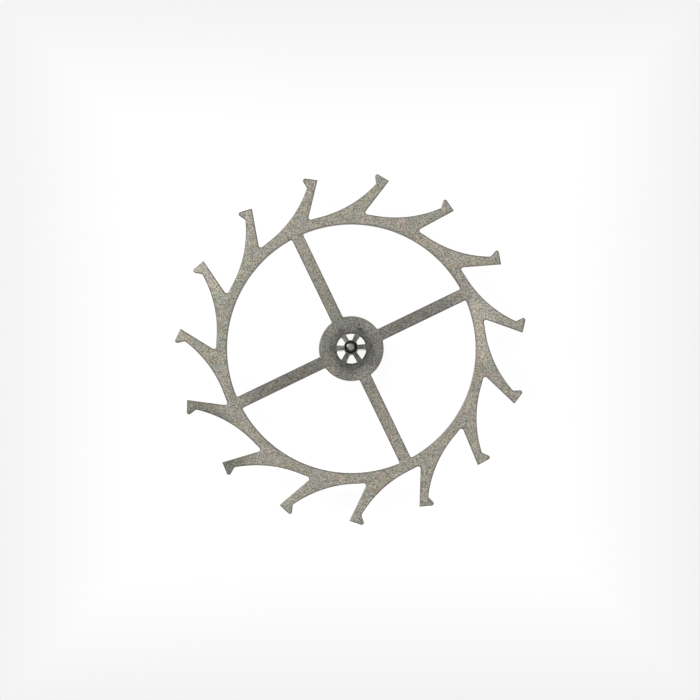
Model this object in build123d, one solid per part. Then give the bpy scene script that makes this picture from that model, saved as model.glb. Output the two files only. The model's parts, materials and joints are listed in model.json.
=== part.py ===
from build123d import *
import os
from math import atan2, cos, degrees, radians, sin, sqrt

# Escape wheel of a wristwatch with a lever escapement: a flat steel wheel
# with club teeth, riveted to a steel pinion that turns on two fine pivots.
# Millimetres and degrees. Z is the arbor's axis. The origin is on that axis,
# at the shoulder of the lower pivot, and +Z runs from the wheel to the pinion.
# Angles are counted anticlockwise, seen from the pinion's side.

# Wheel: the disc and its club teeth
TEETH = 15
TIP_RADIUS = 2.5               # over the noses of the teeth
TOOTH_HEIGHT = 0.585           # from the floor between two teeth to the nose
RIM_WIDTH = 0.153              # from the rim's inner edge to that floor
WHEEL_THICKNESS = 0.15
LOCKING_DROP = 0.063           # how far the locking corner lies inside the nose
LOCKING_UNDERCUT = 25.0        # lean of the locking face from the radius
IMPULSE_ANGLE = 18.5           # rise of the impulse face from the tangent
NOSE_RADIUS = 0.031            # rounding at the end of the impulse face
TOE_ANGLE = 20.5               # slope of the toe's back edge from the radius
TOE_LENGTH = 0.085             # straight part of that edge
NECK_RADIUS = 0.031            # hollow where the toe joins the tooth's back
ROOT_RADIUS = 0.034            # fillet at the foot of the locking face
FLOOR_LAND = 0.11              # floor left between a back and the next root
FIRST_TOOTH_ANGLE = 5.35       # place of one locking corner

# Wheel: arms and hub
ARMS = 4
ARM_WIDTH = 0.175
ARM_FILLET = 0.022             # in each corner of the windows between the arms
FIRST_ARM_ANGLE = 25.8
HUB_RADIUS = 0.459

# Pinion: leaves, and the seat turned on them for the wheel
LEAVES = 6
LEAF_TIP_RADIUS = 0.304
LEAF_ROOT_RADIUS = 0.102
LEAF_THICKNESS = 0.082         # where the flanks meet the rounded tip
LEAF_FLANK_ANGLE = 3.5         # lean of each flank from the leaf's middle line
LEAF_FILLET = 0.012            # at the foot of each flank
LEAF_LENGTH = 0.85             # from the wheel to the free end
LEAF_END_BEVEL = 0.018
FIRST_LEAF_ANGLE = 3.0
SEAT_RADIUS = 0.21             # leaves turned down to enter the hub
SEAT_CLEARANCE = 0.002         # left between the seat and the hub's hole
RIVET_SPREAD = 0.024           # how far the riveted ends reach past the hole
RIVET_HEIGHT = 0.03
RIVET_BEVEL = 0.01

# Pinion: arbor and pivots
ARBOR_RADIUS = 0.092
LOWER_ARBOR_LENGTH = 0.3       # from the lower shoulder to the rivet
UPPER_ARBOR_LENGTH = 0.12      # from the leaves to the upper shoulder
PIVOT_RADIUS = 0.06
PIVOT_LENGTH = 0.26
PIVOT_END_RADIUS = 0.016       # rounding of a pivot's end
UNDERCUT_WIDTH = 0.012         # hollow round the foot of each pivot
UNDERCUT_DEPTH = 0.015
OVERRUN = 0.1                  # how far a turned blank stands past what is cut from it

PITCH = 360 / TEETH
LOCKING_RADIUS = TIP_RADIUS - LOCKING_DROP
FLOOR_RADIUS = TIP_RADIUS - TOOTH_HEIGHT
RIM_INNER_RADIUS = FLOOR_RADIUS - RIM_WIDTH
HUB_HOLE_RADIUS = SEAT_RADIUS + SEAT_CLEARANCE
RIVET_RADIUS = HUB_HOLE_RADIUS + RIVET_SPREAD

# Heights along the arbor, from the shoulder of the lower pivot
RIVET_Z = LOWER_ARBOR_LENGTH
WHEEL_Z = RIVET_Z + RIVET_HEIGHT
LEAF_Z = WHEEL_Z + WHEEL_THICKNESS
LEAF_END_Z = LEAF_Z + LEAF_LENGTH
SHOULDER_Z = LEAF_END_Z + UPPER_ARBOR_LENGTH
AXIS_POINT = Vector(0, 0)


def heading(angle):
    """Unit vector at an angle in the plane of the wheel."""
    return Vector(cos(radians(angle)), sin(radians(angle)))


def angle_of(point):
    """Angle at which a point lies about the axis."""
    return degrees(atan2(point.Y, point.X))


def point_after_turn(point, angle):
    """Where a point goes when it is turned about the axis."""
    return heading(angle_of(point) + angle) * point.length


def arc(start, centre, end):
    """Arc of less than half a turn from start to end."""
    radius = (start - centre).length
    bow = ((start - centre) + (end - centre)).normalized()
    return ThreePointArc(start, centre + bow * radius, end)


def crossings(start, direction, radius):
    """Distances along a line to the circle of this radius about the axis, nearest first."""
    middle = -start.dot(direction)
    half_chord = sqrt(middle ** 2 - start.length ** 2 + radius ** 2)
    return middle - half_chord, middle + half_chord


def foot_fillet(outer, inward, open_side, floor_radius, fillet_radius):
    """Fillet where a flank meets the floor circle: its end on the flank, centre, end on the floor."""
    start = outer + open_side * fillet_radius
    near, _ = crossings(start, inward, floor_radius + fillet_radius)
    centre = start + inward * near
    return centre - open_side * fillet_radius, centre, centre.normalized() * floor_radius


def back_radius(neck_centre, back):
    """Radius of the tooth's back: one hollow arc that touches the floor circle and the neck."""
    reach = neck_centre.dot(back)
    return (NECK_RADIUS ** 2 - FLOOR_RADIUS ** 2 + 2 * FLOOR_RADIUS * reach
            - neck_centre.length ** 2) / (2 * (FLOOR_RADIUS - reach + NECK_RADIUS))


def tooth_edges():
    """Outline of one tooth and the floor after it, with its locking corner on the X axis."""
    corner = Vector(LOCKING_RADIUS, 0)
    locking_foot, root_centre, floor_end = foot_fillet(
        corner, heading(180 - LOCKING_UNDERCUT), heading(270 - LOCKING_UNDERCUT),
        FLOOR_RADIUS, ROOT_RADIUS)

    rise = heading(90 - IMPULSE_ANGLE)
    inside = heading(180 - IMPULSE_ANGLE) * NOSE_RADIUS
    _, run = crossings(corner + inside, rise, TIP_RADIUS - NOSE_RADIUS)
    nose_centre = corner + inside + rise * run
    impulse_end = nose_centre - inside

    behind = heading(90 + TOE_ANGLE)
    toe_start = nose_centre + behind * NOSE_RADIUS
    toe_end = toe_start - heading(TOE_ANGLE) * TOE_LENGTH
    neck_centre = toe_end + behind * NECK_RADIUS

    next_floor_end = point_after_turn(floor_end, PITCH)
    back = heading(angle_of(next_floor_end) - degrees(FLOOR_LAND / FLOOR_RADIUS))
    radius = back_radius(neck_centre, back)
    back_centre = back * (FLOOR_RADIUS + radius)
    back_start = back_centre + (neck_centre - back_centre).normalized() * radius
    back_end = back * FLOOR_RADIUS

    return [
        arc(floor_end, root_centre, locking_foot),
        Line(locking_foot, corner),
        Line(corner, impulse_end),
        arc(impulse_end, nose_centre, toe_start),
        Line(toe_start, toe_end),
        arc(toe_end, neck_centre, back_start),
        arc(back_start, back_centre, back_end),
        arc(back_end, AXIS_POINT, next_floor_end),
    ]


def leaf_edges():
    """Outline of one pinion leaf on the X axis, and the root circle up to the next one."""
    tip_radius = LEAF_THICKNESS / 2 / cos(radians(LEAF_FLANK_ANGLE))
    side = heading(90 + LEAF_FLANK_ANGLE)
    tip_end = Vector(LEAF_TIP_RADIUS - tip_radius, 0) + side * tip_radius
    foot, fillet_centre, floor = foot_fillet(
        tip_end, heading(180 + LEAF_FLANK_ANGLE), side, LEAF_ROOT_RADIUS, LEAF_FILLET)
    upper = [tip_end, foot, fillet_centre, floor]
    low_tip, low_foot, low_centre, low_floor = [Vector(point.X, -point.Y) for point in upper]
    return [
        arc(low_floor, low_centre, low_foot),
        Line(low_foot, low_tip),
        ThreePointArc(low_tip, Vector(LEAF_TIP_RADIUS, 0), tip_end),
        Line(tip_end, foot),
        arc(foot, fillet_centre, floor),
        arc(floor, AXIS_POINT, point_after_turn(low_floor, 360 / LEAVES)),
    ]


def round_face(edges, count, first_angle):
    """Face whose outline repeats these edges round the axis."""
    copies = [edge.rotate(Axis.Z, first_angle + step * 360 / count)
              for step in range(count) for edge in edges]
    return Face(Wire(copies))


def windows():
    """Openings between rim, hub and arms."""
    ring = Circle(RIM_INNER_RADIUS) - Circle(HUB_RADIUS)
    for step in range(ARMS):
        arm = Rectangle(RIM_INNER_RADIUS + OVERRUN, ARM_WIDTH, align=(Align.MIN, Align.CENTER))
        ring -= Rot(0, 0, FIRST_ARM_ANGLE + step * 360 / ARMS) * arm
    return fillet(ring.vertices(), ARM_FILLET)


def escape_wheel():
    """Flat blank with its teeth, windows and hub hole."""
    blank = extrude(round_face(tooth_edges(), TEETH, FIRST_TOOTH_ANGLE), WHEEL_THICKNESS, (0, 0, 1))
    blank -= extrude(windows(), WHEEL_THICKNESS)
    blank -= extrude(Circle(HUB_HOLE_RADIUS), WHEEL_THICKNESS)
    return Pos(0, 0, WHEEL_Z) * blank


def revolved(profile):
    """Solid of revolution from (radius, height) points."""
    return revolve(make_face(Polyline([(radius, 0, z) for radius, z in profile], close=True)), Axis.Z)


def leaves():
    """Pinion leaves: full height above the wheel, turned down through it, riveted below it."""
    star = round_face(leaf_edges(), LEAVES, FIRST_LEAF_ANGLE)
    blank_radius = LEAF_TIP_RADIUS + OVERRUN
    blank = revolved([
        (0, RIVET_Z),
        (RIVET_RADIUS - RIVET_BEVEL, RIVET_Z),
        (RIVET_RADIUS, RIVET_Z + RIVET_BEVEL),
        (RIVET_RADIUS, WHEEL_Z),
        (SEAT_RADIUS, WHEEL_Z),
        (SEAT_RADIUS, LEAF_Z),
        (blank_radius, LEAF_Z),
        (blank_radius, LEAF_END_Z - LEAF_END_BEVEL - OVERRUN),
        (LEAF_TIP_RADIUS - LEAF_END_BEVEL, LEAF_END_Z),
        (0, LEAF_END_Z),
    ])
    return blank & Pos(0, 0, RIVET_Z) * extrude(star, LEAF_END_Z - RIVET_Z, (0, 0, 1))


def half_arbor(half_length):
    """Half of the arbor, from its middle at zero height to the end of one pivot."""
    flat = PIVOT_RADIUS - PIVOT_END_RADIUS
    end_z = half_length + PIVOT_LENGTH
    corner = Vector(PIVOT_RADIUS, 0, end_z - PIVOT_END_RADIUS)
    centre = Vector(flat, 0, end_z - PIVOT_END_RADIUS)
    outline = [
        Polyline((0, 0, 0), (ARBOR_RADIUS, 0, 0), (ARBOR_RADIUS, 0, half_length),
                 (PIVOT_RADIUS + UNDERCUT_WIDTH, 0, half_length),
                 (PIVOT_RADIUS, 0, half_length - UNDERCUT_DEPTH), corner),
        arc(corner, centre, Vector(flat, 0, end_z)),
        Polyline((flat, 0, end_z), (0, 0, end_z), (0, 0, 0)),
    ]
    return revolve(make_face(outline), Axis.Z)


def escape_pinion():
    """Arbor with both pivots, and the leaves cut on it."""
    half = half_arbor(SHOULDER_Z / 2)
    middle = Pos(0, 0, SHOULDER_Z / 2)
    return leaves() + middle * half + middle * Rot(180, 0, 0) * half


os.makedirs("parts", exist_ok=True)
for name, solid in {"escape_wheel": escape_wheel(), "escape_pinion": escape_pinion()}.items():
    export_step(solid, f"parts/{name}.step")
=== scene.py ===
# Escape wheel of a wristwatch: a lapped steel wheel with club teeth, riveted to a
# hardened steel pinion that turns on two fine pivots. Blender units are metres.
# Z is the arbor's axis, with the origin on it at the shoulder of the lower pivot.
# Angles are counted anticlockwise, seen from the pinion's side, as the camera sees it.

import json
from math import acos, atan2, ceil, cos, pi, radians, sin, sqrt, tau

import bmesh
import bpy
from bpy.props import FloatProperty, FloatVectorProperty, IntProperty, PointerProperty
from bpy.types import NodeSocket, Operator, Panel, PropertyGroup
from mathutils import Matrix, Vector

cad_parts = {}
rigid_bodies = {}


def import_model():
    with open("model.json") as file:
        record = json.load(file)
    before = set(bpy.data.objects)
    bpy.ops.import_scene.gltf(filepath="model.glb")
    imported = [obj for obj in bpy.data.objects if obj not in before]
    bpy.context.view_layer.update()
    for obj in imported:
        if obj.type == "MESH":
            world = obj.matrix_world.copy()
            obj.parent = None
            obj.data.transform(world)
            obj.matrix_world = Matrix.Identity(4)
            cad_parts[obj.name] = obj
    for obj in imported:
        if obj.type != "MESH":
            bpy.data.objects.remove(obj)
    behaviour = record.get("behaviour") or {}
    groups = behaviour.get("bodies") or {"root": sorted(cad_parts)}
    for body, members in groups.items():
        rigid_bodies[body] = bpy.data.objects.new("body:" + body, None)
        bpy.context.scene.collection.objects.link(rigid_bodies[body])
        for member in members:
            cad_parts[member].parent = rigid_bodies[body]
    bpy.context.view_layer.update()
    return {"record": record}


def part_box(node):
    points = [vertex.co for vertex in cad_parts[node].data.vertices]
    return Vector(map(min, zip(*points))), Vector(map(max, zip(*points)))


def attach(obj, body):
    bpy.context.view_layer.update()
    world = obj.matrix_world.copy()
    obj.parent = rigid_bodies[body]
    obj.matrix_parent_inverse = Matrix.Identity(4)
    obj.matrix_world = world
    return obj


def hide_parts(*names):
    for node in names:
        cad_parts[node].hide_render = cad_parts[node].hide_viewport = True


bl_info = {
    "name": "Watch Escape Wheel",
    "version": (1, 0, 0),
    "blender": (4, 5, 0),
    "location": "View3D > Sidebar > Escape Wheel",
    "description": "Models a club-toothed escape wheel with its pinion, and a stage round them",
    "category": "Add Mesh",
}

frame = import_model()

MOUNTS = {mount["name"]: mount for mount in frame["record"]["mounts"]}

MM = 0.001
AXIS = Vector((0, 0, 0))
UP = Vector((0, 0, 1))
ACROSS = Vector((0, 1, 0))     # what a profile drawn in the XZ plane turns about

# Blender's edit operators round too coarsely at the size of a watch part, so each
# piece is modelled this many times up, which makes one unit a millimetre.
WORK_SCALE = 1000
WELD_GAP = 0.0001              # vertices nearer than this are one, in working units
ARC_TOLERANCE = 0.0001 * MM    # how far a chord may lie inside its arc
TURNED_STEPS = 96              # flats round a turned surface
SMOOTH_ANGLE = radians(15)     # edges blunter than this are shaded smooth
FLAT_SHARE = 0.97              # a face whose normal rises more than this is a flat one
BEVEL_SHARE = 0.8              # and more than this, a flat one or its bevel
FACED_SHARE = 0.75             # share of a pivot's radius over which its end is faced
CLIP_REACH = 100               # the camera's clipping: its distance divided by this, and times this

# Facets of a broken edge, from the side to the flat face: how far each goes in and up.
EDGE_FACETS = ((0.003 * MM, 0.007 * MM), (0.009 * MM, 0.004 * MM))
WHITE = (1.0, 1.0, 1.0, 1.0)

# Broad soft patches of painted sheen and painted shade on the lapped faces, lighter or darker
# with a slight tint: bearing and distance of the middle from the axis, half lengths outwards
# and across, and the tint in the middle, where 1 is none.
SHEEN_AND_SHADE_PATCHES = (
    (radians(0), 0, 1.9 * MM, 1.9 * MM, (0.835, 0.83, 0.82)),
    (radians(0), 0, 0.7 * MM, 0.7 * MM, (0.89, 0.93, 1.02)),
    (radians(25.8), 1.1 * MM, 0.85 * MM, 0.6 * MM, (0.70, 0.72, 0.755)),
    (radians(205.8), 1.1 * MM, 0.85 * MM, 0.6 * MM, (0.655, 0.68, 0.70)),
    (radians(214), 2.35 * MM, 0.5 * MM, 1.0 * MM, (0.595, 0.62, 0.61)),
    (radians(165), 1.85 * MM, 0.4 * MM, 1.2 * MM, (0.965, 1.0, 0.99)),
    (radians(150), 2.3 * MM, 0.45 * MM, 1.3 * MM, (1.25, 1.25, 1.25)),
    (radians(9), 1.86 * MM, 0.3 * MM, 0.6 * MM, (1.28, 1.25, 1.24)),
    (radians(300), 0.4 * MM, 0.16 * MM, 0.2 * MM, (1.26, 1.23, 1.2)),
    (radians(42), 0.37 * MM, 0.12 * MM, 0.2 * MM, (1.16, 1.14, 1.12)),
    (radians(221), 0.38 * MM, 0.12 * MM, 0.16 * MM, (1.18, 1.14, 1.08)),
)
SHEEN_AND_SHADE_EDGE = 0.6                # share of a patch's half length over which it fades out

# Ranges of a noise's values: nearly all of them, and up to the strongest specks.
NOISE_SPAN = {"From Min": 0.3, "From Max": 0.7}
SPECK_SPAN = {"From Min": 0.25, "From Max": 0.75}

# Scales that draw a noise out into lines along the arbor, or into rings round it.
MILLED_LINES = (1, 1, 0.06)
POLISHED_LINES = (1, 1, 0.04)
BURNISHED_RINGS = (0.04, 0.04, 1)
SCALE_OF_ONE_RING = 0.3        # with it, a wave texture draws about one ring for each unit

# The studio's light from the horizon up to straight overhead: the height of the direction,
# as the sine of its angle above the horizon, and the level there, where 1 is white.
STUDIO_LEVELS = (
    (0.0, 0.9), (0.36, 0.88), (0.5, 0.25), (0.81, 0.25), (0.84, 1.82),
    (0.96, 1.82), (0.972, 0.03), (1.0, 0.02),
)

WHEEL_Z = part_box("escape_wheel")[0].z
WHEEL_TOP_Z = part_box("escape_wheel")[1].z
FLOOR_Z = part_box("escape_pinion")[0].z
PIVOT_TOP_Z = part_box("escape_pinion")[1].z
UPPER_SHOULDER_Z = MOUNTS["upper_pivot"]["pos_m"][2]
PIVOT_RADIUS = MOUNTS["upper_pivot"]["dims"]["r_mm"] * MM


def linear(colour):
    """An sRGB hex colour as linear red, green, blue and alpha."""
    shares = [int(colour[place:place + 2], 16) / 255 for place in (1, 3, 5)]
    return [c / 12.92 if c <= 0.04045 else ((c + 0.055) / 1.055) ** 2.4 for c in shares] + [1.0]


class ToothedWheelSizes(PropertyGroup):
    """Sizes of the wheel, its club teeth, arms and hub"""

    teeth: IntProperty(name="Teeth", description="Number of club teeth", default=15, min=6)
    tip_radius: FloatProperty(
        name="Tip radius", description="From the axis to the noses of the teeth",
        default=2.5 * MM, unit="LENGTH", precision=6)
    tooth_height: FloatProperty(
        name="Tooth height", description="From the floor between two teeth to the nose",
        default=0.585 * MM, unit="LENGTH", precision=6)
    rim_width: FloatProperty(
        name="Rim width", description="From the rim's inner edge to the floor",
        default=0.153 * MM, unit="LENGTH", precision=6)
    locking_drop: FloatProperty(
        name="Locking drop", description="How far the locking corner lies inside the nose",
        default=0.063 * MM, unit="LENGTH", precision=6)
    locking_undercut: FloatProperty(
        name="Locking undercut", description="Lean of the locking face from the radius",
        default=radians(25), unit="ROTATION")
    impulse_angle: FloatProperty(
        name="Impulse angle", description="Rise of the impulse face from the tangent",
        default=radians(18.5), unit="ROTATION")
    nose_radius: FloatProperty(
        name="Nose radius", description="Rounding at the end of the impulse face",
        default=0.031 * MM, unit="LENGTH", precision=6)
    toe_angle: FloatProperty(
        name="Toe angle", description="Slope of the toe's back edge from the radius",
        default=radians(20.5), unit="ROTATION")
    toe_length: FloatProperty(
        name="Toe length", description="Straight part of the toe's back edge",
        default=0.085 * MM, unit="LENGTH", precision=6)
    neck_radius: FloatProperty(
        name="Neck radius", description="Hollow where the toe joins the tooth's back",
        default=0.031 * MM, unit="LENGTH", precision=6)
    root_radius: FloatProperty(
        name="Root radius", description="Fillet at the foot of the locking face",
        default=0.034 * MM, unit="LENGTH", precision=6)
    floor_land: FloatProperty(
        name="Floor land", description="Floor left between a back and the next root",
        default=0.11 * MM, unit="LENGTH", precision=6)
    first_tooth: FloatProperty(
        name="First tooth", description="Place of one locking corner",
        default=radians(5.35), unit="ROTATION")
    arms: IntProperty(name="Arms", description="Number of arms", default=4, min=3)
    arm_width: FloatProperty(
        name="Arm width", description="Across one arm",
        default=0.175 * MM, unit="LENGTH", precision=6)
    arm_fillet: FloatProperty(
        name="Arm fillet", description="In each corner of the windows between the arms",
        default=0.022 * MM, unit="LENGTH", precision=6)
    first_arm: FloatProperty(
        name="First arm", description="Place of one arm",
        default=radians(25.8), unit="ROTATION")
    hub_radius: FloatProperty(
        name="Hub radius", description="Outer edge of the hub",
        default=0.459 * MM, unit="LENGTH", precision=6)
    hub_hole_radius: FloatProperty(
        name="Hub hole radius", description="Hole that the pinion's leaves are riveted in",
        default=0.212 * MM, unit="LENGTH", precision=6)
    roll_width: FloatProperty(
        name="Roll-off width", description="How far in from an edge lapping rounds a face off",
        default=0.018 * MM, unit="LENGTH", precision=6)
    roll_drop: FloatProperty(
        name="Roll-off drop", description="How much lower a face is where it rolls off",
        default=0.0008 * MM, unit="LENGTH", precision=7)


class LeafPinionSizes(PropertyGroup):
    """Sizes of the pinion's leaves, arbor and pivots"""

    leaves: IntProperty(name="Leaves", description="Number of pinion leaves", default=6, min=5)
    tip_radius: FloatProperty(
        name="Leaf tip radius", description="From the axis to the tips of the leaves",
        default=0.304 * MM, unit="LENGTH", precision=6)
    root_radius: FloatProperty(
        name="Leaf root radius", description="From the axis to the floor between two leaves",
        default=0.102 * MM, unit="LENGTH", precision=6)
    thickness: FloatProperty(
        name="Leaf thickness", description="Where the flanks meet the rounded tip",
        default=0.082 * MM, unit="LENGTH", precision=6)
    flank_angle: FloatProperty(
        name="Flank angle", description="Lean of each flank from the leaf's middle line",
        default=radians(3.5), unit="ROTATION")
    foot_fillet: FloatProperty(
        name="Foot fillet", description="At the foot of each flank",
        default=0.012 * MM, unit="LENGTH", precision=6)
    first_leaf: FloatProperty(
        name="First leaf", description="Place of one leaf",
        default=radians(3), unit="ROTATION")
    end_bevel: FloatProperty(
        name="End bevel", description="Turned on the free ends of the leaves, twice as wide as deep",
        default=0.028 * MM, unit="LENGTH", precision=6)
    seat_radius: FloatProperty(
        name="Seat radius", description="Leaves turned down to enter the hub",
        default=0.21 * MM, unit="LENGTH", precision=6)
    rivet_radius: FloatProperty(
        name="Rivet radius", description="Riveted ends of the leaves, spread under the hub",
        default=0.236 * MM, unit="LENGTH", precision=6)
    rivet_height: FloatProperty(
        name="Rivet height", description="How far the riveted ends stand out of the hub",
        default=0.03 * MM, unit="LENGTH", precision=6)
    rivet_bevel: FloatProperty(
        name="Rivet bevel", description="On the edge of the riveted ends",
        default=0.01 * MM, unit="LENGTH", precision=6)
    arbor_radius: FloatProperty(
        name="Arbor radius", description="Arbor between the leaves and a pivot's shoulder",
        default=0.092 * MM, unit="LENGTH", precision=6)
    upper_arbor_length: FloatProperty(
        name="Upper arbor length", description="From the leaves to the upper shoulder",
        default=0.12 * MM, unit="LENGTH", precision=6)
    pivot_corner: FloatProperty(
        name="Pivot corner", description="Rounding round a pivot's end",
        default=0.003 * MM, unit="LENGTH", precision=6)
    pivot_dome: FloatProperty(
        name="Pivot dome", description="Radius of the slightly domed end of a pivot",
        default=0.14 * MM, unit="LENGTH", precision=6)
    undercut_width: FloatProperty(
        name="Undercut width", description="Hollow round the foot of a pivot",
        default=0.012 * MM, unit="LENGTH", precision=6)
    undercut_depth: FloatProperty(
        name="Undercut depth", description="Depth of that hollow",
        default=0.015 * MM, unit="LENGTH", precision=6)
    hollow_radius: FloatProperty(
        name="Hollow radius", description="Outer edge of the hollow turned in the ends of the leaves",
        default=0.2 * MM, unit="LENGTH", precision=6)
    hollow_depth: FloatProperty(
        name="Hollow depth", description="Depth of that hollow at the arbor",
        default=0.032 * MM, unit="LENGTH", precision=6)
    edge_break: FloatProperty(
        name="Edge break", description="Bevel left on the edges of the shoulders",
        default=0.003 * MM, unit="LENGTH", precision=6)
    overrun: FloatProperty(
        name="Overrun", description="How far a turned blank stands past what is cut from it",
        default=0.03 * MM, unit="LENGTH", precision=6)


class SteelFinishes(PropertyGroup):
    """Colours and grain sizes of the steel surfaces"""

    lapped_warm: FloatVectorProperty(
        name="Lapped, warm", description="Pinkish patches of the lapped faces",
        subtype="COLOR", size=4, default=linear("#A79E91"))
    lapped_cool: FloatVectorProperty(
        name="Lapped, cool", description="Olive patches of the lapped faces",
        subtype="COLOR", size=4, default=linear("#9A9B90"))
    # Partly the duller grey of cut steel, partly painted shade that draws the edges as dark lines.
    milled_with_edge_shade: FloatVectorProperty(
        name="Milled", description="Cut sides of the wheel",
        subtype="COLOR", size=4, default=linear("#8C8981"))
    polished: FloatVectorProperty(
        name="Polished", description="Flanks of the leaves",
        subtype="COLOR", size=4, default=linear("#A5A4A2"))
    faced: FloatVectorProperty(
        name="Faced", description="Turned ends of the leaves",
        subtype="COLOR", size=4, default=linear("#656461"))
    faced_pivot: FloatVectorProperty(
        name="Faced pivot", description="Ends of the pivots",
        subtype="COLOR", size=4, default=linear("#888784"))
    burnished: FloatVectorProperty(
        name="Burnished", description="Arbor and pivots",
        subtype="COLOR", size=4, default=linear("#807F7C"))
    # Lapping scratches are about 0.002 mm wide and tool lines about 0.003 mm apart, too
    # fine to show, so the next two draw them as coarse as they need to be.
    speck: FloatProperty(
        name="Speck", description="Width of one speck of the lapped grain",
        default=0.0176 * MM, unit="LENGTH", precision=6)
    tool_line: FloatProperty(
        name="Tool line", description="Spacing of turned and milled lines",
        default=0.012 * MM, unit="LENGTH", precision=6)
    speck_contrast: FloatProperty(
        name="Speck contrast", description="How much lighter or darker the strongest specks are",
        default=0.77, min=0, max=1)
    grain_depth: FloatProperty(
        name="Grain depth", description="Depth of specks and tool lines",
        default=0.001 * MM, unit="LENGTH", precision=7)
    patch: FloatProperty(
        name="Patch", description="Width of the faint tinted patches",
        default=0.16 * MM, unit="LENGTH", precision=6)
    patch_yellow: FloatProperty(
        name="Patch yellow", description="How much yellower or bluer the strongest patches are",
        default=0.05, min=0, max=1)
    # Painted shade: the tone a lapped face is darkened to where it rolls off at an edge.
    painted_edge_shade: FloatProperty(
        name="Edge shade", description="Tone of a lapped face where it rolls off at an edge",
        default=0.85, min=0, max=1)


class StageSettings(PropertyGroup):
    """Floor, lamps and camera"""

    floor_colour: FloatVectorProperty(
        name="Floor", description="Colour of the floor without its glow",
        subtype="COLOR", size=4, default=linear("#8F8F8F"))
    floor_radius: FloatProperty(
        name="Floor radius", description="Half of the floor's width",
        default=400 * MM, unit="LENGTH")
    camera_distance: FloatProperty(
        name="Camera distance", description="From the camera to the wheel's upper face",
        default=50 * MM, unit="LENGTH", precision=5)
    frame_width: FloatProperty(
        name="Frame width", description="Width of the picture at the wheel's upper face",
        default=9.912 * MM, unit="LENGTH", precision=6)
    camera_lean: FloatProperty(
        name="Camera lean", description="How far the camera leans from the arbor's axis",
        default=radians(1.2), unit="ROTATION")
    camera_bearing: FloatProperty(
        name="Camera bearing", description="Direction in which it leans",
        default=radians(-70.6), unit="ROTATION")
    aim_x: FloatProperty(
        name="Aim X", description="Middle of the picture, across",
        default=-0.018 * MM, unit="LENGTH", precision=6)
    aim_y: FloatProperty(
        name="Aim Y", description="Middle of the picture, up",
        default=-0.0202 * MM, unit="LENGTH", precision=6)
    floor_glow: FloatProperty(
        name="Floor glow", description="Glow that the camera and the metal see in the floor",
        default=0.84, min=0, max=1)
    edge_glow: FloatProperty(
        name="Edge glow", description="The same from the picture's edges outwards",
        default=0.645, min=0, max=1)
    pale_radius: FloatProperty(
        name="Pale radius", description="Half width of the floor's whitest part",
        default=1.7 * MM, unit="LENGTH", precision=6)
    softbox_power: FloatProperty(
        name="Softbox power", description="Power of the large lamp", default=0.018, unit="POWER")
    softbox_width: FloatProperty(
        name="Softbox width", description="Width of the large lamp", default=50 * MM, unit="LENGTH")
    softbox_height: FloatProperty(
        name="Softbox height", description="Height of the large lamp", default=40 * MM, unit="LENGTH")
    softbox_distance: FloatProperty(
        name="Softbox distance", description="From the lamp to the wheel",
        default=90 * MM, unit="LENGTH")
    softbox_lean: FloatProperty(
        name="Softbox lean", description="How far the lamp leans from the arbor's axis",
        default=radians(42), unit="ROTATION")
    softbox_bearing: FloatProperty(
        name="Softbox bearing", description="Direction in which it leans",
        default=radians(150), unit="ROTATION")


def heading(angle):
    """Unit vector at an angle in the plane of the wheel."""
    return Vector((cos(angle), sin(angle), 0))


def leaning(bearing, lean):
    """Unit vector that leans this far from straight up, in the direction of a bearing."""
    return heading(bearing) * sin(lean) + UP * cos(lean)


def angle_of(point):
    """Angle at which a point lies about the axis."""
    return atan2(point.y, point.x)


def crossings(start, direction, radius):
    """Distances along a line to the circle of this radius about the axis, nearest first."""
    middle = -start.dot(direction)
    half_chord = sqrt(middle ** 2 - start.length_squared + radius ** 2)
    return middle - half_chord, middle + half_chord


def fillet_at_foot(outer, inward, open_side, floor_radius, fillet_radius):
    """Fillet where a flank meets the floor circle: its end on the flank, centre, end on the floor."""
    start = outer + open_side * fillet_radius
    near, _ = crossings(start, inward, floor_radius + fillet_radius)
    centre = start + inward * near
    return centre - open_side * fillet_radius, centre, centre.normalized() * floor_radius


def begin_piece(name):
    """New object with an empty mesh, in edit mode."""
    bpy.ops.object.select_all(action="DESELECT")
    bpy.ops.mesh.primitive_plane_add(size=1)
    piece = bpy.context.object
    piece.name = piece.data.name = name
    bpy.ops.object.mode_set(mode="EDIT")
    bpy.ops.mesh.delete(type="VERT")
    return piece


def drop_point(point):
    """Leaves one new vertex, selected, in the mesh being edited."""
    bpy.ops.mesh.select_mode(type="VERT")
    bpy.ops.mesh.primitive_plane_add(size=1, location=point * WORK_SCALE)
    bpy.ops.mesh.merge(type="CENTER")


def line_to(start, end):
    """Extrudes the selected vertex along a straight line."""
    bpy.ops.mesh.extrude_region_move(TRANSFORM_OT_translate={"value": (end - start) * WORK_SCALE})


def arc_to(start, centre, end, axis=UP):
    """Spins the selected vertex about a centre, the short way round. A spin turns clockwise."""
    arm = start - centre
    reach = end - centre
    turn = atan2(arm.cross(reach).dot(axis), arm.dot(reach))
    step = 2 * acos(1 - ARC_TOLERANCE / arm.length)
    bpy.ops.mesh.spin(
        steps=ceil(abs(turn) / step), angle=-turn, center=centre * WORK_SCALE, axis=axis)


def weld():
    """Merges what meets in the mesh being edited, and turns its faces outwards."""
    bpy.ops.mesh.select_all(action="SELECT")
    bpy.ops.mesh.remove_doubles(threshold=WELD_GAP)
    bpy.ops.mesh.normals_make_consistent(inside=False)


def repeat_outline(count, first_angle):
    """Turns the outline just drawn to its place, and copies it round the axis."""
    bpy.ops.mesh.select_linked()
    bpy.ops.transform.rotate(value=-first_angle, orient_axis="Z", center_override=AXIS)
    bpy.ops.mesh.spin(steps=count, angle=tau, dupli=True, center=AXIS, axis=UP)
    weld()
    bpy.ops.mesh.select_all(action="DESELECT")


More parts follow.
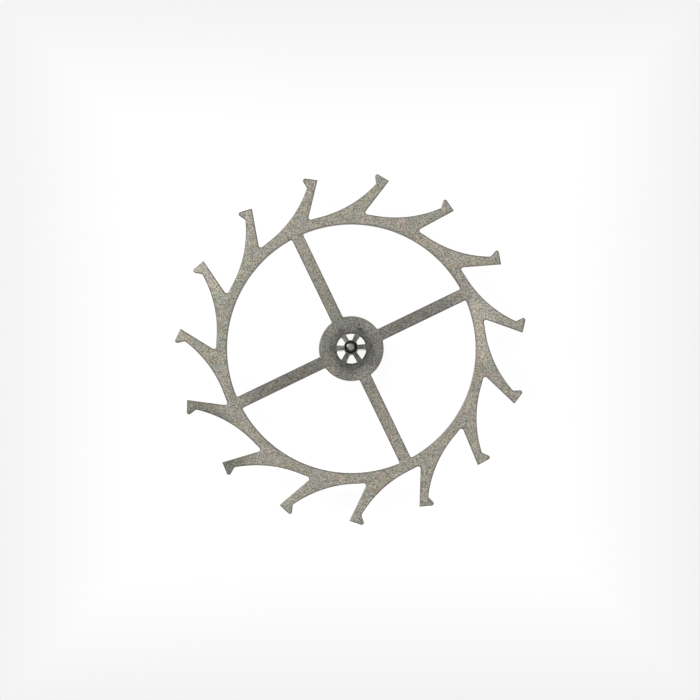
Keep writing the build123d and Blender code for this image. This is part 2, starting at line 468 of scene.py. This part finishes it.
def select_faces(test):
    """Selects the faces of the mesh being edited that pass a test."""
    bpy.ops.mesh.select_mode(type="FACE")
    bpy.ops.mesh.select_all(action="DESELECT")
    mesh = bmesh.from_edit_mesh(bpy.context.object.data)
    for face in mesh.faces:
        face.select_set(test(face))
    bmesh.update_edit_mesh(bpy.context.object.data)


def raise_plate(low, high, facets=()):
    """Makes the outlines a plate between two heights, with these facets round both flat faces."""
    rise = sum(depth for _, depth in facets)
    bpy.ops.mesh.select_all(action="SELECT")
    bpy.ops.mesh.fill(use_beauty=True)
    bpy.ops.transform.translate(value=UP * (low + rise) * WORK_SCALE)
    height = high - low - 2 * rise
    bpy.ops.mesh.extrude_region_move(TRANSFORM_OT_translate={"value": UP * height * WORK_SCALE})
    weld()
    for side in (1, -1):
        select_faces(lambda face: face.normal.z * side > FLAT_SHARE)
        for width, depth in facets:
            bpy.ops.mesh.inset(thickness=width * WORK_SCALE, depth=depth * WORK_SCALE)


def turn_profile():
    """Spins the profile in the mesh being edited into a turned solid."""
    bpy.ops.mesh.select_all(action="SELECT")
    bpy.ops.mesh.spin(steps=TURNED_STEPS, angle=tau, center=AXIS, axis=UP)
    weld()
    bpy.ops.object.mode_set(mode="OBJECT")


def combine(piece, other, operation):
    """Applies a Boolean of one piece with another, and deletes the other."""
    bpy.ops.object.select_all(action="DESELECT")
    bpy.context.view_layer.objects.active = piece
    bpy.ops.object.modifier_add(type="BOOLEAN")
    modifier = piece.modifiers[-1]
    modifier.operation = operation
    modifier.solver = "EXACT"
    modifier.object = other
    bpy.ops.object.modifier_apply(modifier=modifier.name)
    bpy.data.objects.remove(other)


def finish_piece(piece, node):
    """Leaves edit mode, brings a piece to its real size, and lets it stand for its CAD node."""
    bpy.ops.object.mode_set(mode="OBJECT")
    bpy.ops.object.select_all(action="DESELECT")
    bpy.context.view_layer.objects.active = piece
    piece.select_set(True)
    bpy.ops.object.shade_smooth_by_angle(angle=SMOOTH_ANGLE)
    piece.data.transform(Matrix.Scale(1 / WORK_SCALE, 4))
    mesh = bmesh.new()
    mesh.from_mesh(piece.data)
    open_edges = sum(not edge.is_manifold for edge in mesh.edges)
    mesh.free()
    if open_edges:
        raise RuntimeError(f"{piece.name} isn't closed: {open_edges} edges don't join two faces")
    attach(piece, "root")
    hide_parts(node)


def paint(piece, materials, choose):
    """Gives a piece its materials, and each face the one that choose names by its place in the list."""
    for material in materials:
        piece.data.materials.append(material)
    for face in piece.data.polygons:
        reach = max(piece.data.vertices[index].co.xy.length for index in face.vertices)
        face.material_index = choose(face, reach)


def draw_tooth(sizes):
    """Draws one tooth and the floor after it, with its locking corner on the X axis."""
    floor_radius = sizes.tip_radius - sizes.tooth_height
    corner = Vector((sizes.tip_radius - sizes.locking_drop, 0, 0))
    locking_foot, root_centre, floor_end = fillet_at_foot(
        corner, heading(pi - sizes.locking_undercut), heading(-pi / 2 - sizes.locking_undercut),
        floor_radius, sizes.root_radius)

    inside = heading(pi - sizes.impulse_angle) * sizes.nose_radius
    rise = heading(pi / 2 - sizes.impulse_angle)
    _, run = crossings(corner + inside, rise, sizes.tip_radius - sizes.nose_radius)
    nose_centre = corner + inside + rise * run
    impulse_end = nose_centre - inside

    behind = heading(pi / 2 + sizes.toe_angle)
    toe_start = nose_centre + behind * sizes.nose_radius
    toe_end = toe_start - heading(sizes.toe_angle) * sizes.toe_length
    neck_centre = toe_end + behind * sizes.neck_radius

    next_floor_end = heading(angle_of(floor_end) + tau / sizes.teeth) * floor_radius
    back = heading(angle_of(next_floor_end) - sizes.floor_land / floor_radius)
    reach = neck_centre.dot(back)
    back_radius = (
        (sizes.neck_radius ** 2 - floor_radius ** 2 + 2 * floor_radius * reach
         - neck_centre.length_squared) / (2 * (floor_radius - reach + sizes.neck_radius)))
    back_centre = back * (floor_radius + back_radius)
    back_start = back_centre + (neck_centre - back_centre).normalized() * back_radius
    back_end = back * floor_radius

    drop_point(floor_end)
    arc_to(floor_end, root_centre, locking_foot)
    line_to(locking_foot, corner)
    line_to(corner, impulse_end)
    arc_to(impulse_end, nose_centre, toe_start)
    line_to(toe_start, toe_end)
    arc_to(toe_end, neck_centre, back_start)
    arc_to(back_start, back_centre, back_end)
    arc_to(back_end, AXIS, next_floor_end)


def draw_window(sizes):
    """Draws the opening between two arms, the first of them on the X axis."""
    rim_radius = sizes.tip_radius - sizes.tooth_height - sizes.rim_width
    fillet = sizes.arm_fillet
    edge = sizes.arm_width / 2
    pitch = tau / sizes.arms

    def beside_arm(radius):
        """Centre of a fillet that touches the arm and lies this far from the axis."""
        return Vector((sqrt(radius ** 2 - (edge + fillet) ** 2), edge + fillet, 0))

    def opposite(point):
        """The same place beside the next arm."""
        return heading(pitch - angle_of(point)) * point.length

    hub_centre = beside_arm(sizes.hub_radius + fillet)
    rim_centre = beside_arm(rim_radius - fillet)
    arm_start = hub_centre - ACROSS * fillet
    arm_end = rim_centre - ACROSS * fillet
    hub_point = hub_centre.normalized() * sizes.hub_radius
    rim_point = rim_centre.normalized() * rim_radius

    drop_point(arm_start)
    line_to(arm_start, arm_end)
    arc_to(arm_end, rim_centre, rim_point)
    arc_to(rim_point, AXIS, opposite(rim_point))
    arc_to(opposite(rim_point), opposite(rim_centre), opposite(arm_end))
    line_to(opposite(arm_end), opposite(arm_start))
    arc_to(opposite(arm_start), opposite(hub_centre), opposite(hub_point))
    arc_to(opposite(hub_point), AXIS, hub_point)
    arc_to(hub_point, hub_centre, arm_start)


def draw_leaf(sizes):
    """Draws one leaf on the X axis, and the root circle up to the next one."""
    tip_round = sizes.thickness / 2 / cos(sizes.flank_angle)
    side = heading(pi / 2 + sizes.flank_angle)
    tip_centre = Vector((sizes.tip_radius - tip_round, 0, 0))
    tip = tip_centre + side * tip_round
    crown = tip_centre + Vector((tip_round, 0, 0))
    foot, fillet_centre, floor = fillet_at_foot(
        tip, heading(pi + sizes.flank_angle), side, sizes.root_radius, sizes.foot_fillet)

    def below(point):
        """The same place on the leaf's other side."""
        return Vector((point.x, -point.y, 0))

    drop_point(below(floor))
    arc_to(below(floor), below(fillet_centre), below(foot))
    line_to(below(foot), below(tip))
    arc_to(below(tip), tip_centre, crown)
    arc_to(crown, tip_centre, tip)
    line_to(tip, foot)
    arc_to(foot, fillet_centre, floor)
    next_floor = heading(angle_of(below(floor)) + tau / sizes.leaves) * sizes.root_radius
    arc_to(floor, AXIS, next_floor)


def draw_profile(corners):
    """Draws straight lines through (radius, height) corners in the XZ plane."""
    points = [Vector((radius, 0, z)) for radius, z in corners]
    drop_point(points[0])
    for start, end in zip(points, points[1:]):
        line_to(start, end)


def turned_leaf_blank(sizes, leaf_end_z):
    """Turned blank of the leaves: rivet, seat in the hub, full height, bevelled end."""
    over = sizes.overrun
    tip = sizes.tip_radius
    rivet_z = WHEEL_Z - sizes.rivet_height
    bevel_z = leaf_end_z - sizes.end_bevel / 2
    hollow_z = leaf_end_z - sizes.hollow_depth
    blank = begin_piece("leaf_blank")
    draw_profile([
        (0, rivet_z - over),
        (sizes.rivet_radius - sizes.rivet_bevel - over, rivet_z - over),
        (sizes.rivet_radius, rivet_z + sizes.rivet_bevel),
        (sizes.rivet_radius, WHEEL_Z),
        (sizes.seat_radius, WHEEL_Z),
        (sizes.seat_radius, WHEEL_TOP_Z),
        (tip + over, WHEEL_TOP_Z),
        (tip + over, bevel_z),
        (tip, bevel_z),
        (tip - sizes.end_bevel, leaf_end_z),
        (sizes.hollow_radius, leaf_end_z),
        (sizes.arbor_radius, hollow_z),
        (0, hollow_z),
    ])
    turn_profile()
    return blank


def turned_arbor(sizes):
    """Arbor with a pivot at each end: one half is drawn, mirrored and turned."""
    middle_z = UPPER_SHOULDER_Z / 2
    corner_reach = PIVOT_RADIUS - sizes.pivot_corner
    dome_centre = Vector((0, 0, PIVOT_TOP_Z - sizes.pivot_dome))
    inner = sizes.pivot_dome - sizes.pivot_corner
    corner_centre = dome_centre + Vector((corner_reach, 0, sqrt(inner ** 2 - corner_reach ** 2)))
    corner_start = corner_centre + Vector((sizes.pivot_corner, 0, 0))
    dome_start = dome_centre + (corner_centre - dome_centre).normalized() * sizes.pivot_dome

    arbor = begin_piece("arbor")
    draw_profile([
        (sizes.arbor_radius, middle_z),
        (sizes.arbor_radius, UPPER_SHOULDER_Z - sizes.edge_break),
        (sizes.arbor_radius - sizes.edge_break, UPPER_SHOULDER_Z),
        (PIVOT_RADIUS + sizes.undercut_width, UPPER_SHOULDER_Z),
        (PIVOT_RADIUS, UPPER_SHOULDER_Z - sizes.undercut_depth),
        (PIVOT_RADIUS, corner_start.z),
    ])
    arc_to(corner_start, corner_centre, dome_start, ACROSS)
    arc_to(dome_start, dome_centre, dome_centre + UP * sizes.pivot_dome, ACROSS)
    bpy.ops.mesh.select_all(action="SELECT")
    bpy.ops.mesh.duplicate()
    bpy.ops.transform.resize(value=(1, 1, -1), center_override=UP * middle_z * WORK_SCALE)
    turn_profile()
    return arbor


def add_node(tree, kind, inputs, **settings):
    """Adds a node with its settings, sets or links its inputs, and gives its first output."""
    node = tree.nodes.new(kind)
    for name, value in settings.items():
        setattr(node, name, value)
    for socket, value in inputs.items():
        if isinstance(value, NodeSocket):
            tree.links.new(value, node.inputs[socket])
        else:
            node.inputs[socket].default_value = value
    return node.outputs[0]


def new_metal(name):
    """A metal with no pattern yet: the material, its nodes, its shader and the object's coordinates."""
    material = bpy.data.materials.new(name)
    material.use_nodes = True
    tree = material.node_tree
    shader = tree.nodes["Principled BSDF"]
    shader.inputs["Metallic"].default_value = 1.0
    place = add_node(tree, "ShaderNodeTexCoord", {}).node.outputs["Object"]
    return material, tree, shader, place


# Steel lapped flat on a plate with fine abrasive: a matte grey of tiny light and dark
# specks, with faint warm and cool patches. Painted shade darkens it where lapping rolls off
# at an edge, and broad patches of painted shade and painted sheen, darker round the hub and
# along one pair of arms, make it darker or paler in places.
def lapped_steel(finish, sizes):
    material, tree, shader, place = new_metal("lapped_steel")
    specks = add_node(tree, "ShaderNodeTexNoise", {"Vector": place, "Scale": 1 / finish.speck})
    contrast = finish.speck_contrast
    tone = add_node(tree, "ShaderNodeMapRange", {
        "Value": specks, **SPECK_SPAN, "To Min": 1 - contrast, "To Max": 1 + contrast})

    # Painted shade along the edges: the lapped face is darker where it rolls off, down to the edge tone
    # at its lowest.
    middle_z = (WHEEL_Z + WHEEL_TOP_Z) / 2
    height = add_node(tree, "ShaderNodeSeparateXYZ", {"Vector": place}).node.outputs["Z"]
    height = add_node(tree, "ShaderNodeMath", {0: height, 1: middle_z}, operation="SUBTRACT")
    height = add_node(tree, "ShaderNodeMath", {0: height}, operation="ABSOLUTE")
    top = WHEEL_TOP_Z - middle_z
    rolled_off_shade = add_node(tree, "ShaderNodeMapRange", {
        "Value": height, "From Min": top - sizes.roll_drop, "From Max": top,
        "To Min": finish.painted_edge_shade, "To Max": 1.0})
    tone = add_node(tree, "ShaderNodeMath", {0: tone, 1: rolled_off_shade}, operation="MULTIPLY")

    patches = add_node(tree, "ShaderNodeTexNoise", {"Vector": place, "Scale": 1 / finish.patch})
    patches = add_node(tree, "ShaderNodeSeparateXYZ", {"Vector": patches.node.outputs["Color"]})
    tint = add_node(tree, "ShaderNodeValToRGB", {"Fac": patches.node.outputs["X"]})
    cool, warm = tint.node.color_ramp.elements
    cool.position, warm.position = 0.33, 0.67
    cool.color, warm.color = finish.lapped_cool, finish.lapped_warm
    blue = add_node(tree, "ShaderNodeMapRange", {
        "Value": patches.node.outputs["Y"], **NOISE_SPAN,
        "To Min": 1 - finish.patch_yellow, "To Max": 1 + finish.patch_yellow})
    blue = add_node(tree, "ShaderNodeCombineXYZ", {"X": 1.0, "Y": 1.0, "Z": blue})
    colour = add_node(tree, "ShaderNodeVectorMath", {0: tint, 1: tone}, operation="MULTIPLY")
    colour = add_node(tree, "ShaderNodeVectorMath", {0: colour, 1: blue}, operation="MULTIPLY")

    # Each patch is painted sheen or painted shade: it makes the lapped face lighter or darker in a soft
    # patch, with a slight tint.
    for bearing, distance, outwards, across, patch_sheen_and_shade in SHEEN_AND_SHADE_PATCHES:
        inside = add_node(tree, "ShaderNodeMapping", {
            "Vector": place, "Location": heading(bearing) * distance,
            "Rotation": (0, 0, bearing), "Scale": (outwards, across, 1)}, vector_type="TEXTURE")
        inside = add_node(tree, "ShaderNodeTexGradient", {"Vector": inside},
                          gradient_type="SPHERICAL")
        inside = add_node(tree, "ShaderNodeMapRange", {"Value": inside, "From Max": SHEEN_AND_SHADE_EDGE},
                          interpolation_type="SMOOTHSTEP")
        change = [level - 1 for level in patch_sheen_and_shade]
        sheen_and_shade = add_node(tree, "ShaderNodeVectorMath", {0: inside, 1: change, 2: WHITE[:3]},
                        operation="MULTIPLY_ADD")
        colour = add_node(tree, "ShaderNodeVectorMath", {0: colour, 1: sheen_and_shade}, operation="MULTIPLY")
    tree.links.new(colour, shader.inputs["Base Color"])

    roughness = add_node(tree, "ShaderNodeMapRange", {
        "Value": specks, **NOISE_SPAN, "To Min": 0.38, "To Max": 0.5})
    tree.links.new(roughness, shader.inputs["Roughness"])
    bump = add_node(tree, "ShaderNodeBump", {
        "Height": specks, "Distance": finish.grain_depth, "Strength": 0.5})
    tree.links.new(bump, shader.inputs["Normal"])
    return material


# The same steel as the cutter leaves it on the sides of teeth, arms and hub, and on the
# broken edges: a darker grey, partly the cut steel's own duller tone and partly painted shade
# that draws the edges as dark lines, with close lines across the edge where the cutter passed.
def milled_steel_with_edge_shade(finish):
    material, tree, shader, place = new_metal("milled_steel_with_edge_shade")
    shader.inputs["Roughness"].default_value = 0.34
    along = add_node(tree, "ShaderNodeMapping", {"Vector": place, "Scale": MILLED_LINES})
    lines = add_node(tree, "ShaderNodeTexNoise", {"Vector": along, "Scale": 1 / finish.tool_line})
    tone = add_node(tree, "ShaderNodeMapRange", {
        "Value": lines, **NOISE_SPAN, "To Min": 0.8, "To Max": 1.2})
    colour = add_node(tree, "ShaderNodeVectorMath", {0: finish.milled_with_edge_shade[:3], 1: tone},
                      operation="MULTIPLY")
    tree.links.new(colour, shader.inputs["Base Color"])
    bump = add_node(tree, "ShaderNodeBump", {
        "Height": lines, "Distance": finish.grain_depth, "Strength": 0.3})
    tree.links.new(bump, shader.inputs["Normal"])
    return material


# Hardened steel polished with a wooden wheel along the leaves: dark or bright as it
# faces, with faint lines along the arbor.
def polished_steel(finish):
    material, tree, shader, place = new_metal("polished_steel")
    along = add_node(tree, "ShaderNodeMapping", {"Vector": place, "Scale": POLISHED_LINES})
    lines = add_node(tree, "ShaderNodeTexNoise", {"Vector": along, "Scale": 1 / finish.tool_line})
    tone = add_node(tree, "ShaderNodeMapRange", {
        "Value": lines, **NOISE_SPAN, "To Min": 0.9, "To Max": 1.1})
    colour = add_node(tree, "ShaderNodeVectorMath", {0: finish.polished[:3], 1: tone},
                      operation="MULTIPLY")
    tree.links.new(colour, shader.inputs["Base Color"])
    roughness = add_node(tree, "ShaderNodeMapRange", {
        "Value": lines, **NOISE_SPAN, "To Min": 0.1, "To Max": 0.2})
    tree.links.new(roughness, shader.inputs["Roughness"])
    return material


# Hardened steel faced on the lathe and left grey: fine rings about the axis, broken up by
# small specks. It is darker on the ends of the leaves, and paler on those of the pivots.
def faced_steel(finish, name, base):
    material, tree, shader, place = new_metal(name)
    shader.inputs["Roughness"].default_value = 0.42
    rings = add_node(tree, "ShaderNodeTexWave", {
        "Vector": place, "Scale": SCALE_OF_ONE_RING / finish.tool_line, "Distortion": 1.5,
        "Detail": 1.0}, wave_type="RINGS", rings_direction="Z").node.outputs["Fac"]
    specks = add_node(tree, "ShaderNodeTexNoise", {"Vector": place, "Scale": 1 / finish.speck})
    speck_tone = add_node(tree, "ShaderNodeMapRange", {
        "Value": specks, **NOISE_SPAN, "To Min": 0.75, "To Max": 1.25})
    ring_tone = add_node(tree, "ShaderNodeMapRange", {"Value": rings, "To Min": 0.92, "To Max": 1.08})
    tone = add_node(tree, "ShaderNodeMath", {0: speck_tone, 1: ring_tone}, operation="MULTIPLY")
    colour = add_node(tree, "ShaderNodeVectorMath", {0: base[:3], 1: tone}, operation="MULTIPLY")
    tree.links.new(colour, shader.inputs["Base Color"])
    bump = add_node(tree, "ShaderNodeBump", {
        "Height": rings, "Distance": finish.grain_depth, "Strength": 0.2})
    tree.links.new(bump, shader.inputs["Normal"])
    return material


# Hardened steel turned and then rolled smooth under a burnisher: nearly a mirror, black
# where it faces the lens, with faint rings round the arbor.
def burnished_steel(finish):
    material, tree, shader, place = new_metal("burnished_steel")
    around = add_node(tree, "ShaderNodeMapping", {"Vector": place, "Scale": BURNISHED_RINGS})
    rings = add_node(tree, "ShaderNodeTexNoise", {"Vector": around, "Scale": 1 / finish.tool_line})
    tone = add_node(tree, "ShaderNodeMapRange", {
        "Value": rings, **NOISE_SPAN, "To Min": 0.93, "To Max": 1.07})
    colour = add_node(tree, "ShaderNodeVectorMath", {0: finish.burnished[:3], 1: tone},
                      operation="MULTIPLY")
    tree.links.new(colour, shader.inputs["Base Color"])
    roughness = add_node(tree, "ShaderNodeMapRange", {
        "Value": rings, **NOISE_SPAN, "To Min": 0.07, "To Max": 0.13})
    tree.links.new(roughness, shader.inputs["Roughness"])
    return material


class MakeToothedWheel(Operator):
    """Model the flat wheel with its club teeth, arms and hub"""

    bl_idname = "escape_wheel.make_toothed_wheel"
    bl_label = "Toothed Wheel"

    def execute(self, context):
        sizes = context.scene.toothed_wheel_sizes
        finish = context.scene.steel_finishes
        wheel = begin_piece("toothed_wheel")
        draw_tooth(sizes)
        repeat_outline(sizes.teeth, sizes.first_tooth)
        draw_window(sizes)
        repeat_outline(sizes.arms, sizes.first_arm)
        bpy.ops.mesh.primitive_circle_add(
            vertices=TURNED_STEPS, radius=sizes.hub_hole_radius * WORK_SCALE)
        raise_plate(WHEEL_Z, WHEEL_TOP_Z, (*EDGE_FACETS, (sizes.roll_width, sizes.roll_drop)))
        finish_piece(wheel, "escape_wheel")
        lapped, milled_with_edge_shade = range(2)
        paint(wheel, [lapped_steel(finish, sizes), milled_steel_with_edge_shade(finish)],
              lambda face, reach: lapped if abs(face.normal.z) > FLAT_SHARE else milled_with_edge_shade)
        return {"FINISHED"}


class MakeLeafPinion(Operator):
    """Model the pinion: its leaves are cut from a turned blank and joined to the arbor"""

    bl_idname = "escape_wheel.make_leaf_pinion"
    bl_label = "Leaf Pinion"

    def execute(self, context):
        sizes = context.scene.leaf_pinion_sizes
        finish = context.scene.steel_finishes
        leaf_end_z = UPPER_SHOULDER_Z - sizes.upper_arbor_length
        blank = turned_leaf_blank(sizes, leaf_end_z)
        arbor = turned_arbor(sizes)
        pinion = begin_piece("leaf_pinion")
        draw_leaf(sizes)
        repeat_outline(sizes.leaves, sizes.first_leaf)
        raise_plate(WHEEL_Z - sizes.rivet_height, leaf_end_z + sizes.overrun)
        bpy.ops.object.mode_set(mode="OBJECT")
        combine(pinion, blank, "INTERSECT")
        combine(pinion, arbor, "UNION")
        # The Booleans leave vertices that nearly meet, and faces that are only a line.
        bpy.ops.object.mode_set(mode="EDIT")
        weld()
        bpy.ops.mesh.dissolve_degenerate(threshold=WELD_GAP)
        finish_piece(pinion, "escape_pinion")

        polished, faced, faced_pivot, burnished = range(4)
        arbor_reach = (sizes.arbor_radius + sizes.root_radius) / 2

        def choose(face, reach):
            """The arbor and the ends of its pivots by their reach from the axis, and the faced
            ends of the leaves by their normals and by lying outside the hollow."""
            if reach < PIVOT_RADIUS * FACED_SHARE:
                return faced_pivot
            if reach < arbor_reach:
                return burnished
            flat = abs(face.normal.z) > BEVEL_SHARE
            return faced if flat and reach > sizes.hollow_radius + ARC_TOLERANCE else polished

        materials = [
            polished_steel(finish),
            faced_steel(finish, "faced_steel", finish.faced),
            faced_steel(finish, "faced_pivot_steel", finish.faced_pivot),
            burnished_steel(finish),
        ]
        paint(pinion, materials, choose)
        return {"FINISHED"}


def floor_material(settings):
    """Matte white card: it glows for the camera and for reflections, and keeps a soft shadow."""
    material = bpy.data.materials.new("white_card")
    material.use_nodes = True
    tree = material.node_tree
    shader = tree.nodes["Principled BSDF"]
    shader.inputs["Base Color"].default_value = settings.floor_colour
    shader.inputs["Roughness"].default_value = 0.9
    shader.inputs["Emission Color"].default_value = WHITE
    ray = add_node(tree, "ShaderNodeLightPath", {}).node.outputs
    seen = add_node(tree, "ShaderNodeMath", {
        0: ray["Is Camera Ray"], 1: ray["Is Glossy Ray"]}, operation="MAXIMUM")
    seen = add_node(tree, "ShaderNodeMath", {
        0: seen, 1: ray["Is Transmission Ray"]}, operation="MAXIMUM")
    place = add_node(tree, "ShaderNodeTexCoord", {}).node.outputs["Object"]
    apart = add_node(tree, "ShaderNodeVectorMath", {0: place}, operation="ABSOLUTE")
    apart = add_node(tree, "ShaderNodeSeparateXYZ", {"Vector": apart}).node.outputs
    farthest = add_node(tree, "ShaderNodeMath", {0: apart["X"], 1: apart["Y"]}, operation="MAXIMUM")
    glow = add_node(tree, "ShaderNodeMapRange", {
        "Value": farthest, "From Min": settings.pale_radius, "From Max": settings.frame_width / 2,
        "To Min": settings.floor_glow, "To Max": settings.edge_glow})
    glow = add_node(tree, "ShaderNodeMath", {0: glow, 1: seen}, operation="MULTIPLY")
    tree.links.new(glow, shader.inputs["Emission Strength"])
    return material


def studio_world():
    """Plain studio round the part: pale walls, a dimmer ceiling, a broad lit ring overhead
    and the dark front of the lens straight above."""
    world = bpy.data.worlds.new("studio")
    bpy.context.scene.world = world
    world.use_nodes = True
    tree = world.node_tree
    direction = add_node(tree, "ShaderNodeTexCoord", {})
    height = add_node(tree, "ShaderNodeSeparateXYZ", {"Vector": direction}).node.outputs["Z"]
    light = add_node(tree, "ShaderNodeValToRGB", {"Fac": height})
    elements = light.node.color_ramp.elements
    while len(elements) < len(STUDIO_LEVELS):
        elements.new(1.0)
    for element, (rise, level) in zip(elements, STUDIO_LEVELS):
        element.position = rise
        element.color = (level, level, level, 1)
    tree.links.new(light, tree.nodes["Background"].inputs["Color"])


class MakeStage(Operator):
    """Set the floor, the light and the camera"""

    bl_idname = "escape_wheel.make_stage"
    bl_label = "Stage"

    def execute(self, context):
        settings = context.scene.stage_settings
        bpy.ops.object.select_all(action="DESELECT")
        bpy.ops.mesh.primitive_plane_add(size=2 * settings.floor_radius, location=(0, 0, FLOOR_Z))
        floor = context.object
        floor.name = "floor"
        floor.data.transform(floor.matrix_world)
        floor.matrix_world = Matrix.Identity(4)
        floor.data.materials.append(floor_material(settings))
        studio_world()

        target = Vector((settings.aim_x, settings.aim_y, WHEEL_TOP_Z))
        lamp_way = leaning(settings.softbox_bearing, settings.softbox_lean)
        bpy.ops.object.light_add(type="AREA", location=target + lamp_way * settings.softbox_distance)
        lamp = context.object
        lamp.name = "softbox"
        lamp.data.shape = "RECTANGLE"
        lamp.data.size = settings.softbox_width
        lamp.data.size_y = settings.softbox_height
        lamp.data.energy = settings.softbox_power
        lamp.rotation_euler = lamp_way.to_track_quat("Z", "Y").to_euler()

        back = leaning(settings.camera_bearing, settings.camera_lean)
        right = ACROSS.cross(back).normalized()
        bpy.ops.object.camera_add(location=target + back * settings.camera_distance)
        camera = context.object
        camera.rotation_euler = Matrix((right, back.cross(right), back)).transposed().to_euler()
        camera.data.lens = camera.data.sensor_width * settings.camera_distance / settings.frame_width
        camera.data.clip_start = settings.camera_distance / CLIP_REACH
        camera.data.clip_end = settings.camera_distance * CLIP_REACH
        context.scene.camera = camera
        context.scene.view_settings.view_transform = "Standard"
        return {"FINISHED"}


SECTIONS = {
    "toothed_wheel_sizes": MakeToothedWheel,
    "leaf_pinion_sizes": MakeLeafPinion,
    "stage_settings": MakeStage,
}


class EscapeWheelPanel(Panel):
    """Sizes, finishes and operators of the escape wheel"""

    bl_idname = "VIEW3D_PT_escape_wheel"
    bl_label = "Escape Wheel"
    bl_space_type = "VIEW_3D"
    bl_region_type = "UI"
    bl_category = "Escape Wheel"

    def draw(self, context):
        for name in ("steel_finishes", *SECTIONS):
            box = self.layout.box()
            settings = getattr(context.scene, name)
            for setting in settings.__annotations__:
                box.prop(settings, setting)
            if name in SECTIONS:
                box.operator(SECTIONS[name].bl_idname)


PROPERTY_GROUPS = {
    "toothed_wheel_sizes": ToothedWheelSizes,
    "leaf_pinion_sizes": LeafPinionSizes,
    "steel_finishes": SteelFinishes,
    "stage_settings": StageSettings,
}
CLASSES = (*PROPERTY_GROUPS.values(), *SECTIONS.values(), EscapeWheelPanel)


def register():
    for cls in CLASSES:
        bpy.utils.register_class(cls)
    for name, group in PROPERTY_GROUPS.items():
        setattr(bpy.types.Scene, name, PointerProperty(type=group))


def unregister():
    for name in PROPERTY_GROUPS:
        delattr(bpy.types.Scene, name)
    for cls in reversed(CLASSES):
        bpy.utils.unregister_class(cls)


def main():
    register()
    bpy.ops.escape_wheel.make_toothed_wheel()
    bpy.ops.escape_wheel.make_leaf_pinion()
    bpy.ops.escape_wheel.make_stage()


if __name__ == "__main__":
    main()
